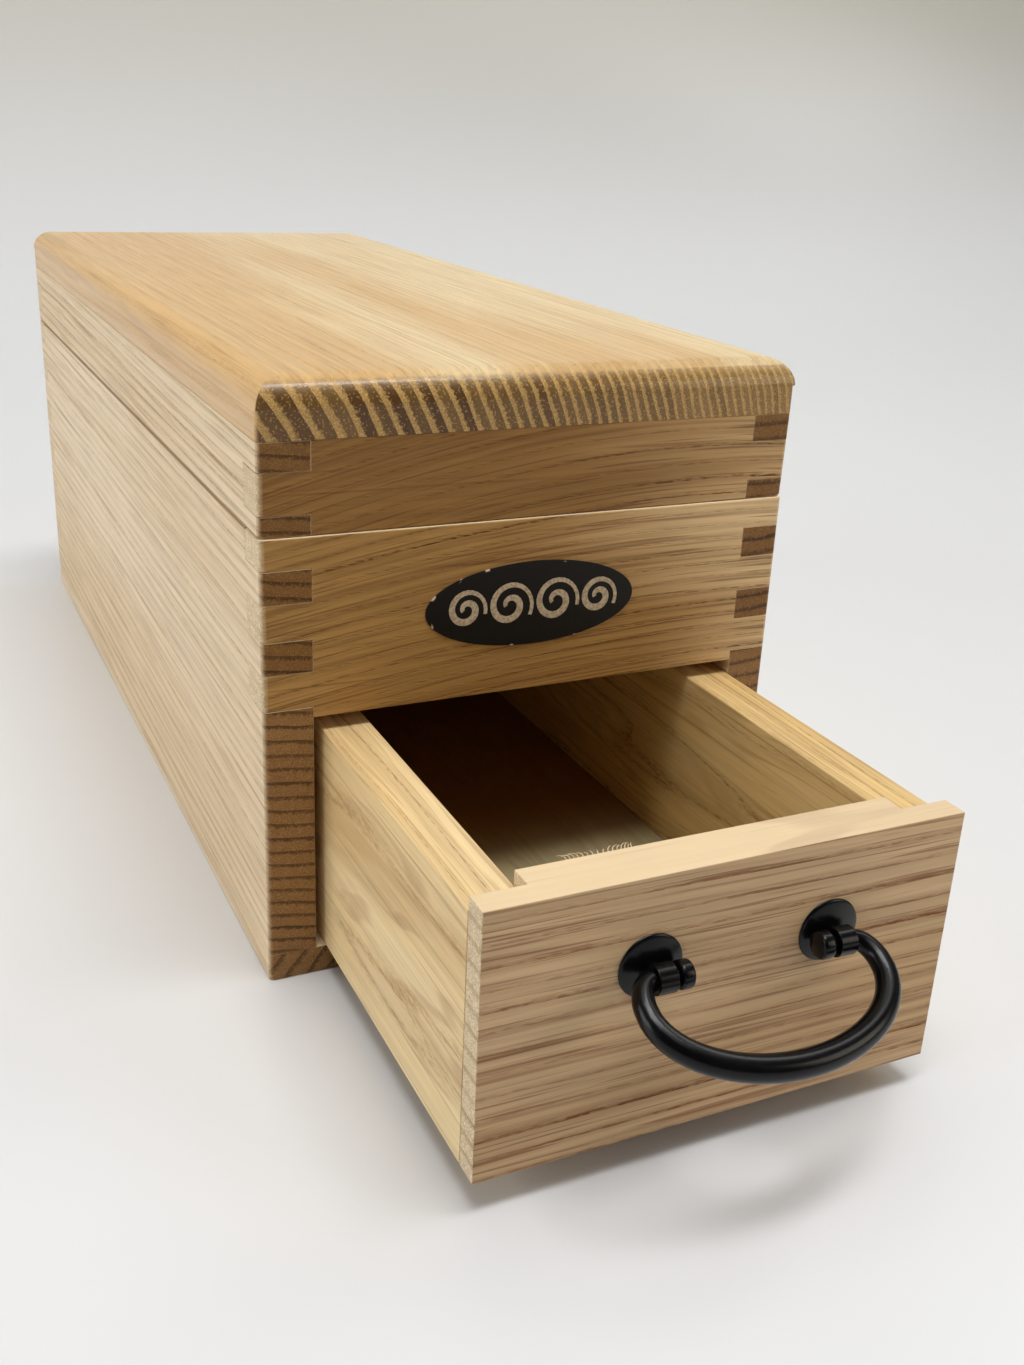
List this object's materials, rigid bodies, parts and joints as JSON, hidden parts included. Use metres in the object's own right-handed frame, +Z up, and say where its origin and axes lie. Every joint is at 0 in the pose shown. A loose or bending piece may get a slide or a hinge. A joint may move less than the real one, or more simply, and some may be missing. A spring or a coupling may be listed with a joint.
{
  "type": "bonito shaver box",
  "caption": "Ash box with box joints, lift-off lid over an upturned plane, a drawer below that catches the shavings, and a black iron bail handle.",
  "frame": {"origin": "centre of the case's footprint on the table", "axes": "+X to the right seen from the drawer end, +Y from the drawer front to the back, +Z up"},
  "size_m": [0.12, 0.3934, 0.1294],
  "materials": {
    "ash": "bare planed, satin",
    "ash_warm": "lightly oiled, satin",
    "ash_streaked": "bare planed, satin",
    "oak": "oiled, satin",
    "panel_pale": "smooth, pale",
    "black_iron": "satin black",
    "iron_blade": "ground",
    "nail_steel": "plain",
    "label_black": "printed paper, satin"
  },
  "bodies": {
    "case": {"side_board_left": "ash", "side_board_right": "ash", "front_board": "ash", "back_board": "ash", "bottom_board": "ash", "plane_rail_left": "ash", "plane_rail_right": "ash", "label": "label_black", "rail_nail_left_1": "nail_steel", "rail_nail_left_2": "nail_steel", "rail_nail_right_1": "nail_steel", "rail_nail_right_2": "nail_steel", "bottom_nail_left_1": "nail_steel", "bottom_nail_left_2": "nail_steel", "bottom_nail_left_3": "nail_steel", "bottom_nail_right_1": "nail_steel", "bottom_nail_right_2": "nail_steel", "bottom_nail_right_3": "nail_steel"},
    "plane": {"plane_block": "oak"},
    "iron": {"plane_iron": "iron_blade"},
    "lid": {"lid_top": "ash_warm", "lid_front": "ash", "lid_back": "ash", "lid_side_left": "ash", "lid_side_right": "ash"},
    "drawer": {"drawer_front": "ash_streaked", "drawer_side_left": "ash", "drawer_side_right": "ash", "drawer_back": "ash", "drawer_panel": "panel_pale", "drawer_brad_1": "nail_steel", "drawer_brad_2": "nail_steel", "rosette_left": "black_iron", "rosette_right": "black_iron", "eye_pin_left": "black_iron", "eye_pin_right": "black_iron"},
    "handle": {"bail": "black_iron"}
  },
  "joints": [
    {"name": "drawer_slide", "type": "slide", "parent": "case", "child": "drawer", "axis": [0, -1, 0], "range_m": [-0.08, 0.11]},
    {"name": "handle_swing", "type": "hinge", "parent": "drawer", "child": "handle", "pos_m": [0.003, -0.2287, 0.0424], "axis": [-0.9995, 0, 0.0332], "range_deg": [-65, 120]},
    {"name": "plane_lift", "type": "slide", "parent": "case", "child": "plane", "axis": [0, 0, 1], "range_m": [0, 0.05]},
    {"name": "lid_lift", "type": "slide", "parent": "plane", "child": "lid", "axis": [0, 0, 1], "range_m": [0, 0.06]},
    {"name": "iron_set", "type": "slide", "parent": "plane", "child": "iron", "axis": [0, 0.766, -0.6428], "range_m": [-0.0005, 0.006]}
  ]
}
